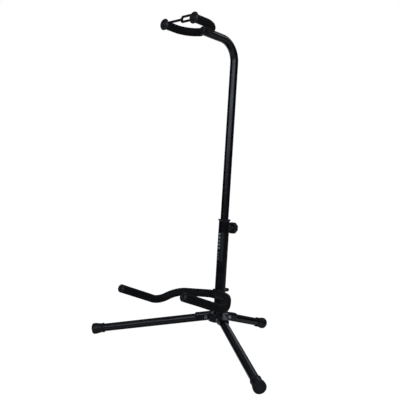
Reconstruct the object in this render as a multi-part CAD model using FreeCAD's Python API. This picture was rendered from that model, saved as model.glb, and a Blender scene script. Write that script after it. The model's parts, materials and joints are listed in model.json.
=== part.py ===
"""Folding tripod guitar stand: leaning two-piece post, body cradle, neck yoke, three folding legs.

World frame: millimetres, +Z up, the guitar side faces -Y, the origin lies on the floor under the
middle of the stand. Most pieces are drawn in the post frame and then placed: its origin is the hub
centre, +Z runs up the leaning post and -Y points forward, square to the post.
"""
import FreeCAD, Part
import math
import os

from FreeCAD import Placement, Rotation
from FreeCAD import Vector as V

# ---------------------------------------------------------------- driving dimensions
lean_deg = 5.0                 # the post leans back by this much
hub_height = 60.6              # hub centre above the floor
hub_setback = 21.42            # hub centre behind the middle of the footprint

fit_gap = 0.05                 # radial gap between pieces that are fixed to each other
run_gap = 0.08                 # radial gap of a pin in the hole that turns on it
slide_gap = 0.30               # gap between faces that slide or swing past each other
film_gap = 0.02                # between the tube and what is stuck or welded on it
through = 60.0                 # half length of a cutter that goes right through a piece

# Post tubes
lower_tube_r = 25.4 / 2
lower_tube_wall = 1.5
upper_tube_r = 19.05 / 2
upper_tube_wall = 1.2
lower_tube_foot = -4.0         # heights along the post, from the hub centre
lower_tube_top = 230.6
upper_tube_foot = 125.0
mast_foot_length = 13.0
guide_length = 14.0
guide_gap = 0.15               # between the guide ring and the lower tube
gooseneck_start = 609.0
gooseneck_r = 48.0
gooseneck_deg = 87.7
gooseneck_reach = 66.2         # straight end of the gooseneck, from the end of its bend

# Hub and legs
hub_r = 24.5
hub_core_r = 18.2              # what is left of the hub behind the leg slots
hub_bottom = -9.0
hub_top = 11.5
hub_bottom_round = 3.0
hub_top_round = 2.5
hub_screw_r = 3.0
hub_screw_length = 20.0        # above the foot of the lower tube
hub_screw_head = 3.2
post_plug_length = 28.0
pivot_r = 28.5                 # leg pivots from the post axis
front_leg_deg = 58.2           # front legs each side of straight ahead
front_droop_deg = 12.28
rear_droop_deg = 13.1
leg_tube_r = 19.05 / 2
leg_tube_wall = 1.2
leg_plug_length = 16.0
rivet_r = 3.0
rivet_head_r = 4.5
rivet_head = 1.5
rivet_hollow_r = 1.9
rivet_hollow = 4.0
bracket_half_width = 11.0
bracket_wall = 1.1
bracket_headroom = 0.9         # between the leg and the bracket's top web
bracket_inner = 16.0           # inner rim of a bracket, behind the pivot
bracket_reach = 26.0           # outer rim, beyond the pivot
bracket_rim_skirt = 1.5        # how far its sides hang at the outer rim
bracket_rise_start = 8.0       # where the sides start to rise towards the rim
bracket_lip = 0.5
bracket_lip_length = 2.4
bracket_skirt = 7.0            # how far its sides hang below the leg axis
bracket_corner_r = 6.3

# Rubber feet
foot_r = 13.5
foot_length = 29.0
foot_floor = 5.0               # rubber beyond the end of the tube
foot_edge_r = 2.0
foot_flat = 0.4                # the rim is flattened this deep on the floor

# Height clamp
clamp_height = 215.0
clamp_screw_r = 3.0
clamp_hole_r = 3.6
clamp_pad_thickness = 1.0
clamp_pad_room = 0.7           # counterbore that takes the pad when the screw is backed out
clamp_nut_r = 7.0
clamp_nut_end = 19.5           # distances behind the post axis
knob_face = 25.4
knob_length = 12.0
knob_r = 14.3
knob_lobes = 8
knob_scallop_r = 7.0
knob_scallop = 0.8
knob_floor = 3.0               # plastic between the screw's end and the knob's outer face

# Collar and label
collar_r = 15.2
collar_height = 5.3
collar_sleeve = 30.0
label_bottom = 136.0
label_top = 205.0
label_centre_deg = 0.0         # from straight ahead towards +X
label_wrap_deg = 100.0
label_thickness = 0.2

# Body cradle, in the post frame: sideways, forward, along the post
rod_r = 4.0
foam_r = 9.7
cradle_rod_height = 58.6
cradle_rod_forward = 24.5
cradle_middle = (0.0, cradle_rod_forward, cradle_rod_height)
cradle_corner = (16.0, cradle_rod_forward, cradle_rod_height)
cradle_crest = (82.5, 63.0, 60.8)
cradle_valley = (108.5, 101.0, 39.3)
cradle_tip = (101.3, 221.0, 77.9)
cradle_bends = (20.0, 75.0, 38.0)
cradle_roll_deg = 4.15         # the rod sits this far out of level on its one bolt
cradle_bolt_height = 64.9
cradle_bolt_r = 2.5
cradle_bolt_head_r = 4.2
cradle_cap_length = 4.5
cradle_cap_grip = 2.0          # depth of the rod in its cap
foam_start_gap = 1.1           # between the saddle and the foam
foam_first_bend = 12.0
saddle_half_width = 9.6
saddle_bottom = 49.0
saddle_top = 69.0
saddle_front = 15.8
saddle_seat_front = 29.0
saddle_seat_top = 60.2
cradle_nut_start = 21.0
cradle_nut_end = 28.5
cradle_nut_floor = 2.3

# Neck yoke, in the frame of the gooseneck's straight end
yoke_r = 46.6
yoke_foam_r = 9.5
yoke_cross = 57.8              # where the rod crosses the gooseneck, from the end of its bend
yoke_neck_start = 130.2        # foam ends and the cap's neck starts
yoke_flange_start = 135.9
yoke_flange_end = 143.5
yoke_flange_r = 12.7
yoke_neck_r = 5.2
yoke_cap_floor = 3.4

# Security strap across the yoke's mouth
strap_thickness = 2.6
strap_ring_r = 8.4
strap_band = 5.2
strap_rise = 4.3               # the band runs this far above the line between the caps
strap_fork = 46.0              # where the band forks, from the left cap
strap_loop_start = 51.0
strap_bar = 4.9
strap_fork_half = 3.0          # half the window's height
strap_loop_end = 76.0          # from here the loop widens round the right cap's neck
strap_setback = 2.2            # strap behind the foam's end, along the arms

RIGHT, UP = V(1, 0, 0), V(0, 0, 1)
POST = Placement(V(0, hub_setback, hub_height), Rotation(RIGHT, -lean_deg))
BACK_AXIS = Rotation(RIGHT, -90)     # turns +Z to +Y, away from the guitar
OUT_AXIS = Rotation(V(0, 1, 0), 90)  # turns +Z to +X

pieces = {}


# ---------------------------------------------------------------- helpers
def keep(name, shape, where=POST):
    """Place a finished piece in the world and remember it under its node name."""
    shape = shape.copy()
    shape.Placement = where.multiply(shape.Placement)
    pieces[name] = shape


def post_point(sideways, forward, along):
    """A point of the post frame from its distances to the side, forward and along the post."""
    return V(sideways, -forward, along)


def cylinder(radius, start, end, rotation=None, at=None):
    """A cylinder on the local +Z axis from start to end, turned and moved if asked."""
    solid = Part.makeCylinder(radius, end - start, V(0, 0, start))
    solid.Placement = Placement(at or V(0, 0, 0), rotation or Rotation())
    return solid


def ring(outer, inner, start, end, rotation=None, at=None):
    """A cylinder with a smaller bore right through it."""
    solid = cylinder(outer, start, end, rotation, at)
    return solid.cut(cylinder(inner, start - 1, end + 1, rotation, at))


def box(low, high):
    """A box between two opposite corners."""
    size = high.sub(low)
    return Part.makeBox(size.x, size.y, size.z, low)


def turned(profile, axis):
    """A solid turned from a closed profile of (along, radius) points about a local axis."""
    side = V(0, 0, 1) if axis == RIGHT else V(1, 0, 0)
    points = [axis * along + side * radius for along, radius in profile]
    face = Part.Face(Part.makePolygon(points + points[:1]))
    return face.revolve(V(0, 0, 0), axis, 360)


def arc_bend(before, corner, after, radius):
    """The two tangent points and the middle point of an arc that rounds a corner."""
    into = (corner - before).normalize()
    out = (after - corner).normalize()
    half = into.getAngle(out) / 2
    reach = radius * math.tan(half)
    inward = (out - into).normalize()
    middle = corner + inward * (radius / math.cos(half) - radius)
    return corner - into * reach, middle, corner + out * reach


def bent_line(points, radii):
    """A wire of straight runs through the points, with an arc of the given radius at each corner."""
    edges = []
    start = points[0]
    for before, corner, after, radius in zip(points, points[1:], points[2:], radii):
        first, middle, last = arc_bend(before, corner, after, radius)
        edges.append(Part.LineSegment(start, first).toShape())
        edges.append(Part.Arc(first, middle, last).toShape())
        start = last
    edges.append(Part.LineSegment(start, points[-1]).toShape())
    return Part.Wire(edges)


def along_wire(wire, radius):
    """A round solid of the given radius that follows a wire."""
    first = wire.Edges[0]
    start = first.valueAt(first.FirstParameter)
    direction = first.tangentAt(first.FirstParameter)
    section = Part.Wire(Part.makeCircle(radius, start, direction))
    solid = Part.Solid(wire.makePipeShell([section], True, False))
    expected = math.pi * radius ** 2 * wire.Length
    if abs(abs(solid.Volume) / expected - 1) > 0.02:
        raise ValueError("a bent rod has lost its section")
    return solid


def sleeve(wire, outer, inner):
    """A soft sleeve: a thick round tube that follows a wire."""
    return along_wire(wire, outer).cut(along_wire(wire, inner))


def mirrored(shape):
    """The same shape on the other side of the stand's middle plane."""
    return shape.mirror(V(0, 0, 0), RIGHT)


# ---------------------------------------------------------------- hub and legs
def leg_place(azimuth_deg, droop_deg):
    """Frame of one leg in the post frame: +X out along the leg, +Y its pivot, origin on the pivot."""
    azimuth = math.radians(azimuth_deg)
    pivot = post_point(pivot_r * math.sin(azimuth), pivot_r * math.cos(azimuth), 0)
    return Placement(pivot, Rotation(UP, azimuth_deg - 90).multiply(Rotation(V(0, 1, 0), droop_deg)))


def leg_length(place):
    """Pivot to the end of the rubber foot, so that the foot's rim is pressed flat on the floor."""
    pivot = POST.multVec(place.Base)
    fall = -POST.Rotation.multVec(place.Rotation.multVec(RIGHT)).z
    rim_drop = foot_r * math.sqrt(1 - fall ** 2)
    return foot_edge_r + (pivot.z + foot_flat - rim_drop) / fall


LEGS = {
    "left": leg_place(-front_leg_deg, front_droop_deg),
    "right": leg_place(front_leg_deg, front_droop_deg),
    "rear": leg_place(180.0, rear_droop_deg),
}


def leg_slot(place):
    """The slot that one leg and its bracket take out of the hub."""
    half = bracket_half_width + fit_gap
    slot = box(V(hub_core_r - pivot_r, -half, -through), V(through, half, through))
    level = Rotation(UP, math.degrees(math.atan2(place.Base.y, place.Base.x)))
    slot.Placement = Placement(place.Base, level)
    return slot


def make_hub_core():
    drum = cylinder(hub_r, hub_bottom, hub_top)
    bottom_edge = [edge for edge in drum.Edges if abs(edge.CenterOfMass.z - hub_bottom) < 0.1]
    top_edge = [edge for edge in drum.Edges if abs(edge.CenterOfMass.z - hub_top) < 0.1]
    drum = drum.makeFillet(hub_bottom_round, bottom_edge).makeFillet(hub_top_round, top_edge)
    for place in LEGS.values():
        drum = drum.cut(leg_slot(place))
    socket = cylinder(lower_tube_r + fit_gap, lower_tube_foot, hub_top + 1)
    screw_hole = cylinder(hub_screw_r + fit_gap, hub_bottom - 1, lower_tube_foot + 1)
    return drum.cut(socket).cut(screw_hole)


def bracket_profile(half_width, top, corner_r, end):
    """Closed channel outline across the leg, with two rounded upper corners, as a face at x = end."""
    bottom = -bracket_skirt
    slope = corner_r * (1 - math.sqrt(0.5))
    points = [
        V(end, -half_width, bottom), V(end, -half_width, top - corner_r),
        V(end, -half_width + corner_r, top), V(end, half_width - corner_r, top),
        V(end, half_width, top - corner_r), V(end, half_width, bottom),
    ]
    left_mid = V(end, -half_width + slope, top - slope)
    right_mid = V(end, half_width - slope, top - slope)
    edges = [
        Part.LineSegment(points[0], points[1]).toShape(),
        Part.Arc(points[1], left_mid, points[2]).toShape(),
        Part.LineSegment(points[2], points[3]).toShape(),
        Part.Arc(points[3], right_mid, points[4]).toShape(),
        Part.LineSegment(points[4], points[5]).toShape(),
        Part.LineSegment(points[5], points[0]).toShape(),
    ]
    return Part.Face(Part.Wire(edges))


def bracket_channel(inner_end, length, lip):
    """A stretch of the bracket's bent sheet, open below; a lip makes it thicker on the outside."""
    inner_top = leg_tube_r + bracket_headroom
    inner_half = bracket_half_width - bracket_wall
    outer = bracket_profile(bracket_half_width + lip, inner_top + bracket_wall + lip, bracket_corner_r + lip,
                            inner_end)
    inner = bracket_profile(inner_half, inner_top, bracket_corner_r - bracket_wall, inner_end)
    channel = outer.extrude(RIGHT * length).cut(inner.extrude(RIGHT * length))
    below = box(V(inner_end - 1, -inner_half, -through), V(inner_end + length + 1, inner_half, 0))
    return channel.cut(below)


def make_leg_bracket(place):
    """Pressed channel over the inner end of a leg; its top web stops the leg when it is unfolded."""
    channel = bracket_channel(-bracket_inner, bracket_inner + bracket_reach, 0)
    rim = bracket_channel(bracket_reach - bracket_lip_length, bracket_lip_length, bracket_lip)
    channel = channel.fuse(rim)

    # The sides rise towards the rim, so that the leg shows below them.
    low = -bracket_skirt - 1
    corners = [
        V(bracket_rise_start, 0, low), V(bracket_reach + 1, 0, low),
        V(bracket_reach + 1, 0, -bracket_rim_skirt), V(bracket_reach - 4, 0, -bracket_rim_skirt - 1),
        V(bracket_rise_start, 0, -bracket_skirt),
    ]
    rise = Part.Face(Part.makePolygon(corners + corners[:1])).extrude(V(0, 2 * through, 0))
    rise.translate(V(0, -through, 0))
    channel = channel.cut(rise).cut(cylinder(rivet_r + fit_gap, -through, through, BACK_AXIS))
    channel.Placement = place
    return channel.common(leg_slot(place)).removeSplitter()


def make_rivet(place):
    """Semi-tubular rivet: two ring-shaped heads on a round shank."""
    head = bracket_half_width + rivet_head
    rounding = 0.6
    half = [
        (0, 0), (0, rivet_r), (bracket_half_width, rivet_r), (bracket_half_width, rivet_head_r),
        (head - rounding, rivet_head_r), (head, rivet_head_r - rounding), (head, rivet_hollow_r + rounding),
        (head - rounding, rivet_hollow_r), (head - rivet_hollow, rivet_hollow_r), (head - rivet_hollow, 0),
    ]
    end = turned(half, V(0, 1, 0))
    other = end.mirror(V(0, 0, 0), V(0, 1, 0))
    rivet = end.fuse(other).removeSplitter()
    rivet.Placement = place
    return rivet


def round_ended(radius, length):
    """A rod out along the leg's +X from a round end that is centred on the pivot."""
    return cylinder(radius, 0, length, OUT_AXIS).fuse(Part.makeSphere(radius)).removeSplitter()


def make_leg_tube(length):
    """Leg tube with a domed inner end centred on the pivot, open at the foot."""
    end = length - foot_floor
    tube = round_ended(leg_tube_r, end).cut(round_ended(leg_tube_r - leg_tube_wall, end + 1))
    return tube.cut(cylinder(rivet_r + run_gap, -through, through, BACK_AXIS))


def make_leg_plug():
    """Plug that fills the domed end of the leg and carries it on the rivet."""
    plug = round_ended(leg_tube_r - leg_tube_wall - fit_gap, leg_plug_length)
    return plug.cut(cylinder(rivet_r + run_gap, -through, through, BACK_AXIS))


def make_foot_cap(length):
    """Rubber foot: rolled lip, slim waist, flared body and a rounded end with a shallow ring."""
    bore_r = leg_tube_r + fit_gap
    lip_r = bore_r + 2.3
    waist_r = bore_r + 1.6
    groove = 0.7
    groove_r = foot_r - foot_edge_r - 1.9
    from_lip = [
        (0, bore_r), (0, lip_r - 0.6), (0.7, lip_r), (2.8, lip_r), (3.5, waist_r),
        (9, waist_r + 0.2), (14, foot_r - 1.3), (19, foot_r - 0.3), (21.5, foot_r),
    ]
    from_end = [
        (foot_edge_r, foot_r), (0.6, foot_r - 0.6), (0, foot_r - foot_edge_r),
        (0, groove_r + 0.6), (groove, groove_r + 0.3), (groove, groove_r - 0.3), (0, groove_r - 0.6), (0, 0),
        (foot_floor, 0), (foot_floor, bore_r),
    ]
    profile = [(length - foot_length + along, radius) for along, radius in from_lip]
    profile += [(length - along, radius) for along, radius in from_end]
    return turned(profile, RIGHT)


def make_legs():
    """The hub's three brackets and rivets, and the three legs with their plugs and feet."""
    rivets = []
    half_floor = 10 * through
    floor = box(V(-half_floor, -half_floor, -through), V(half_floor, half_floor, 0))
    for side, place in LEGS.items():
        keep("leg_bracket_" + side, make_leg_bracket(place))
        rivets.append(make_rivet(place))
        length = leg_length(place)
        in_world = POST.multiply(place)
        keep("leg_tube_" + side, make_leg_tube(length), in_world)
        keep("leg_plug_" + side, make_leg_plug(), in_world)
        foot = make_foot_cap(length)
        foot.Placement = in_world
        keep("foot_cap_" + side, foot.cut(floor), Placement())
    keep("leg_rivets", Part.makeCompound(rivets))


# ---------------------------------------------------------------- lower post
def clamp_hole():
    """The hole for the clamp screw through the back of the post and its bush."""
    return cylinder(clamp_hole_r, upper_tube_r / 2, through, BACK_AXIS, V(0, 0, clamp_height))


def cradle_bolt_hole():
    """The hole for the cradle's bolt, right through from front to back."""
    return cylinder(cradle_bolt_r + fit_gap, -through, through, BACK_AXIS, V(0, 0, cradle_bolt_height))


def make_lower_tube():
    tube = ring(lower_tube_r, lower_tube_r - lower_tube_wall, lower_tube_foot, lower_tube_top)
    return tube.cut(cradle_bolt_hole()).cut(clamp_hole())


def make_post_foot_plug():
    """Plug pressed into the foot of the post, with a blind hole for the hub screw."""
    radius = lower_tube_r - lower_tube_wall - fit_gap
    plug = cylinder(radius, lower_tube_foot, lower_tube_foot + post_plug_length)
    hole_end = lower_tube_foot + hub_screw_length + 2
    return plug.cut(cylinder(hub_screw_r + fit_gap, lower_tube_foot - 1, hole_end))


def hexagon(corner_r, start, end):
    """A hexagonal bar on the local +Z axis."""
    corners = [V(corner_r * math.cos(k * math.pi / 3), corner_r * math.sin(k * math.pi / 3), start)
               for k in range(6)]
    return Part.Face(Part.makePolygon(corners + corners[:1])).extrude(UP * (end - start))


def make_hub_screw():
    """Screw from below with a domed head and a hexagon socket."""
    head_r = 2 * hub_screw_r
    bottom = hub_bottom - hub_screw_head
    shank = cylinder(hub_screw_r, hub_bottom, lower_tube_foot + hub_screw_length)
    head = turned([(bottom, 0), (bottom, head_r - 2.8), (bottom + 1.2, head_r - 0.8),
                   (hub_bottom, head_r), (hub_bottom, 0)], UP)
    return shank.fuse(head).cut(hexagon(2.3, bottom - 1, bottom + 1.8))


def make_collar_bushing():
    """Flanged bush in the top of the lower tube, which guides the upper tube."""
    bore_r = upper_tube_r + slide_gap
    outer_r = lower_tube_r - lower_tube_wall - fit_gap
    top = lower_tube_top + collar_height
    profile = [
        (lower_tube_top - collar_sleeve, bore_r), (lower_tube_top - collar_sleeve, outer_r),
        (lower_tube_top, outer_r), (lower_tube_top, lower_tube_r), (top - 1.6, collar_r - 0.2),
        (top - 1.3, collar_r), (top - 0.7, collar_r), (top, collar_r - 0.8), (top, bore_r + 0.9),
        (top - 0.9, bore_r),
    ]
    return turned(profile, UP).cut(clamp_hole())


def make_tube_label():
    """Thin label wrapped part of the way round the lower tube."""
    inner_r = lower_tube_r + film_gap
    band = ring(inner_r + label_thickness, inner_r, label_bottom, label_top)
    height = label_top - label_bottom
    wedge = Part.makeCylinder(2 * inner_r, height, V(0, 0, label_bottom), UP, label_wrap_deg)
    wedge.rotate(V(0, 0, 0), UP, label_centre_deg - 90 - label_wrap_deg / 2)
    return band.common(wedge)


def make_clamp_nut():
    """Threaded boss on the back of the lower tube."""
    at = V(0, 0, clamp_height)
    boss = cylinder(clamp_nut_r, upper_tube_r, clamp_nut_end, BACK_AXIS, at)
    edge = [item for item in boss.Edges if abs(item.CenterOfMass.y - clamp_nut_end) < 0.1]
    boss = boss.makeChamfer(0.8, edge)
    boss = boss.cut(cylinder(clamp_screw_r + run_gap, 0, through, BACK_AXIS, at))
    boss = boss.cut(cylinder(clamp_hole_r, 0, lower_tube_r + clamp_pad_room, BACK_AXIS, at))
    return boss.cut(cylinder(lower_tube_r + film_gap, 0, lower_tube_top))


# ---------------------------------------------------------------- height clamp
def clamp_start():
    """Front of the clamp pad behind the post axis, just touching the upper tube."""
    return upper_tube_r + fit_gap


def make_clamp_pad():
    start = clamp_start()
    return cylinder(clamp_hole_r - slide_gap, start, start + clamp_pad_thickness, BACK_AXIS,
                    V(0, 0, clamp_height))


def make_clamp_screw():
    """Bright screw: plain tip, threaded part in the boss, and a shank moulded into the knob."""
    start = clamp_start() + clamp_pad_thickness + fit_gap
    end = knob_face + knob_length - knob_floor
    screw = turned([
        (start, 0), (start, clamp_screw_r - 0.6), (start + 0.6, clamp_screw_r),
        (end, clamp_screw_r), (end, 0),
    ], UP)
    screw.Placement = Placement(V(0, 0, clamp_height), BACK_AXIS)
    return screw


def make_clamp_knob():
    """Round knob with soft lobes, a hub towards the post and a domed outer face."""
    end = knob_face + knob_length
    bore_r = clamp_screw_r + fit_gap
    boss_r = 5.6
    boss_rise = 1.5
    body = turned([
        (knob_face, bore_r), (knob_face - boss_rise, bore_r), (knob_face - boss_rise, boss_r),
        (knob_face, boss_r + 0.6), (knob_face, knob_r - 1.4), (knob_face + 1.4, knob_r),
        (end - 2.4, knob_r), (end - 0.8, knob_r - 1.2), (end, knob_r - 4.2), (end, 0),
        (end - knob_floor, 0), (end - knob_floor, bore_r),
    ], UP)
    scallop_at = knob_r + knob_scallop_r - knob_scallop
    for lobe in range(knob_lobes):
        angle = 2 * math.pi * (lobe + 0.5) / knob_lobes
        centre = V(scallop_at * math.cos(angle), scallop_at * math.sin(angle), 0)
        body = body.cut(cylinder(knob_scallop_r, knob_face - 2, end + 1, at=centre))
    body.Placement = Placement(V(0, 0, clamp_height), BACK_AXIS)
    return body


# ---------------------------------------------------------------- body cradle
def roll_cradle(shape):
    """Turn a cradle piece about the bolt, which is how far out of level the rod sits."""
    shape = shape.copy()
    shape.rotate(V(0, 0, cradle_bolt_height), V(0, 1, 0), -cradle_roll_deg)
    return shape


def cradle_points():
    """The corners of the rod's line on the right, from the middle to its tip."""
    return [post_point(*place) for place in
            (cradle_middle, cradle_corner, cradle_crest, cradle_valley, cradle_tip)]


def cradle_away(points):
    """Direction in which the right arm points at its tip."""
    return (points[-1] - points[-2]).normalize()


def cradle_rod_line():
    """The rod's line from tip to tip, bent down into a valley on each side and up to the tips."""
    points = cradle_points()
    tip = points[-1] - cradle_away(points) * (cradle_cap_length - cradle_cap_grip)
    right = points[1:-1] + [tip]
    left = [V(-p.x, p.y, p.z) for p in reversed(right)]
    bends = tuple(reversed(cradle_bends)) + cradle_bends
    return bent_line(left + right, bends)


def make_cradle_foam():
    """Foam sleeve on the right arm, from beside the saddle to the cap."""
    points = cradle_points()
    start = post_point(saddle_half_width + foam_start_gap, cradle_rod_forward, cradle_rod_height)
    stop = points[-1] - cradle_away(points) * cradle_cap_length
    line = bent_line([start] + points[1:-1] + [stop], (foam_first_bend,) + cradle_bends[1:])
    return along_wire(line, foam_r).cut(along_wire(cradle_rod_line(), rod_r + fit_gap))


def make_cradle_cap():
    """Rounded end cap on the right arm, with a shallow dimple in its face."""
    points = cradle_points()
    bore_r = rod_r + fit_gap
    rim_r = foam_r - 0.2
    inside = cradle_cap_grip - cradle_cap_length + 0.1
    dimple_r = 3.4
    cap = turned([
        (-cradle_cap_length, bore_r), (-cradle_cap_length, rim_r), (-2.6, rim_r), (-0.9, rim_r - 1.1),
        (0, rim_r - 3.2), (0, dimple_r + 0.8), (-1.0, dimple_r), (-1.0, 0), (inside, 0), (inside, bore_r),
    ], UP)
    cap.Placement = Placement(points[-1], Rotation(UP, cradle_away(points)))
    return cap


def make_cradle_saddle():
    """Plate that hugs the front of the post, with a seat below the bolt for the rod."""
    plate = box(V(-saddle_half_width, -saddle_front, saddle_bottom),
                V(saddle_half_width, -lower_tube_r / 2, saddle_top))
    seat = box(V(-saddle_half_width, -saddle_seat_front, saddle_bottom),
               V(saddle_half_width, -saddle_front, saddle_seat_top))
    front_edges = [edge for edge in seat.Edges if edge.CenterOfMass.y < -saddle_seat_front + 0.1]
    seat = seat.makeFillet(2.5, front_edges)
    upper = [edge for edge in plate.Edges
             if edge.CenterOfMass.z > saddle_top - 0.1 and abs(edge.CenterOfMass.x) > saddle_half_width - 0.1]
    plate = plate.makeFillet(1.5, upper)
    saddle = plate.fuse(seat).removeSplitter()
    saddle = saddle.cut(cylinder(lower_tube_r + fit_gap, 0, 2 * saddle_top)).cut(cradle_bolt_hole())
    middle = post_point(*cradle_middle)
    half_groove = rod_r + fit_gap
    groove = cylinder(half_groove, -through, through, OUT_AXIS, middle)
    open_top = box(middle + V(-through, -half_groove, 0), middle + V(through, half_groove, 2 * rod_r))
    return saddle.cut(roll_cradle(groove.fuse(open_top)))


def make_cradle_bolt():
    """Domed bolt from the front, through the saddle and the post."""
    face = -saddle_front
    head_r = cradle_bolt_head_r
    end = cradle_nut_end - cradle_nut_floor - 0.1
    bolt = turned([
        (face - 3.0, 0), (face - 3.0, head_r - 2.7), (face - 2.4, head_r - 1.2), (face - 1.3, head_r - 0.3),
        (face, head_r), (face, cradle_bolt_r), (end, cradle_bolt_r), (end, 0),
    ], UP)
    bolt.Placement = Placement(V(0, 0, cradle_bolt_height), BACK_AXIS)
    return bolt


def make_cradle_washer():
    """Curved spacer washer between the post and the nut."""
    bore_r = cradle_bolt_r + fit_gap
    sleeve_r = bore_r + 1.35
    washer_r = bore_r + 3.95
    face = lower_tube_r + 2.7
    washer = turned([
        (upper_tube_r, bore_r), (upper_tube_r, washer_r), (face - 0.8, washer_r), (face, washer_r - 0.7),
        (face, sleeve_r), (cradle_nut_start, sleeve_r), (cradle_nut_start, bore_r),
    ], UP)
    washer.Placement = Placement(V(0, 0, cradle_bolt_height), BACK_AXIS)
    return washer.cut(cylinder(lower_tube_r + fit_gap, 0, 2 * cradle_bolt_height))


def make_cradle_nut():
    """Domed cap nut: a hexagon with a round end."""
    corner_r = 4.6
    start = cradle_nut_start
    dome = turned([
        (start + 3.0, 0), (start + 3.0, 3.9), (start + 5.0, 3.7), (cradle_nut_end - 1.1, 2.6),
        (cradle_nut_end - 0.3, 1.2), (cradle_nut_end, 0),
    ], UP)
    bore = cylinder(cradle_bolt_r + fit_gap, start - 1, cradle_nut_end - cradle_nut_floor)
    nut = hexagon(corner_r, start, start + 4.2).fuse(dome).cut(bore)
    nut.Placement = Placement(V(0, 0, cradle_bolt_height), BACK_AXIS)
    return nut


def make_cradle():
    foam = make_cradle_foam()
    cap = make_cradle_cap()
    keep("cradle_saddle", make_cradle_saddle())
    keep("cradle_rod", roll_cradle(along_wire(cradle_rod_line(), rod_r)))
    keep("cradle_foam_right", roll_cradle(foam))
    keep("cradle_foam_left", roll_cradle(mirrored(foam)))
    keep("cradle_cap_right", roll_cradle(cap))
    keep("cradle_cap_left", roll_cradle(mirrored(cap)))
    keep("cradle_bolt", make_cradle_bolt())
    keep("cradle_washer", make_cradle_washer())
    keep("cradle_nut", make_cradle_nut())


# ---------------------------------------------------------------- upper post and yoke
def neck_place():
    """Frame of the gooseneck's straight end in the post frame: +Z out along it, +X to the right."""
    bend = math.radians(gooseneck_deg)
    forward = gooseneck_r * (1 - math.cos(bend))
    along = gooseneck_start + gooseneck_r * math.sin(bend)
    return Placement(post_point(0, forward, along), Rotation(RIGHT, gooseneck_deg))


NECK = POST.multiply(neck_place())


def gooseneck_line(start, reach):
    """The upper tube's centre line: straight, then bent forward, then straight to the yoke."""
    bend = math.radians(gooseneck_deg)
    half = bend / 2
    forward = gooseneck_r * (1 - math.cos(half))
    turn_point = post_point(0, forward, gooseneck_start + gooseneck_r * math.sin(half))
    bend_start = V(0, 0, gooseneck_start)
    bend_end = neck_place().Base
    tip = neck_place().multVec(V(0, 0, reach))
    return Part.Wire([
        Part.LineSegment(V(0, 0, start), bend_start).toShape(),
        Part.Arc(bend_start, turn_point, bend_end).toShape(),
        Part.LineSegment(bend_end, tip).toShape(),
    ])


def make_upper_tube():
    inner_r = upper_tube_r - upper_tube_wall
    outer = along_wire(gooseneck_line(upper_tube_foot, gooseneck_reach), upper_tube_r)
    inner = along_wire(gooseneck_line(upper_tube_foot - 1, gooseneck_reach + 1), inner_r)
    cross_hole = along_wire(yoke_rod_line(), rod_r + fit_gap)
    cross_hole.Placement = neck_place()
    return outer.cut(inner).cut(cross_hole)


def make_gooseneck_plug():
    """Domed plug in the open end of the gooseneck, in front of the yoke rod."""
    inside = upper_tube_r - upper_tube_wall - fit_gap
    start = yoke_cross + rod_r + 1.4
    reach = gooseneck_reach
    return turned([
        (start, 0), (start, inside), (reach, inside), (reach, upper_tube_r),
        (reach + 1.2, upper_tube_r - 0.3),
        (reach + 2.3, upper_tube_r - 2.4), (reach + 2.8, upper_tube_r - 5.5), (reach + 2.8, 0),
    ], UP)


def make_mast_foot():
    """Plug in the lower end of the upper tube; its flange carries the guide ring."""
    inside = upper_tube_r - upper_tube_wall - fit_gap
    foot = upper_tube_foot
    top = foot + mast_foot_length
    flange_r = upper_tube_r + 0.9
    return turned([
        (foot - 2.0, 0), (foot - 2.0, flange_r), (foot, flange_r), (foot, inside), (top - 1, inside),
        (top, inside - 1), (top, 0),
    ], UP)


def make_guide_ring():
    """Plastic ring round the lower end of the upper tube; it slides in the lower tube."""
    outer = lower_tube_r - lower_tube_wall - guide_gap
    inner = upper_tube_r + run_gap
    start = upper_tube_foot + 0.1
    end = start + guide_length
    return turned([
        (start, inner), (start, outer - 0.5), (start + 0.5, outer), (end - 0.5, outer), (end, outer - 0.5),
        (end, inner),
    ], UP)


def yoke_line(start_angle, end):
    """Half of the yoke on the right: part of a half circle, then a straight arm out to end."""
    centre = V(0, 0, yoke_cross + yoke_r)
    angles = [start_angle, (start_angle + 90) / 2, 90]
    first, middle, last = [
        centre + V(yoke_r * math.sin(math.radians(a)), 0, -yoke_r * math.cos(math.radians(a))) for a in angles
    ]
    tip = V(yoke_r, 0, end)
    return Part.Wire([Part.Arc(first, middle, last).toShape(), Part.LineSegment(last, tip).toShape()])


def yoke_rod_line():
    """The yoke rod's line from tip to tip: a half circle with two straight arms."""
    end = yoke_flange_end - yoke_cap_floor - 0.1
    centre = yoke_cross + yoke_r
    left, right = V(-yoke_r, 0, centre), V(yoke_r, 0, centre)
    return Part.Wire([
        Part.LineSegment(V(-yoke_r, 0, end), left).toShape(),
        Part.Arc(left, V(0, 0, yoke_cross), right).toShape(),
        Part.LineSegment(right, V(yoke_r, 0, end)).toShape(),
    ])


def make_yoke_foam():
    """Foam sleeve of the right arm, from the side of the gooseneck to the cap's neck."""
    start = math.degrees(math.asin((upper_tube_r + 1.6) / yoke_r))
    foam = sleeve(yoke_line(start, yoke_neck_start), yoke_foam_r, rod_r + fit_gap)
    return foam.cut(cylinder(upper_tube_r + slide_gap, 0, yoke_neck_start))


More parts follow.
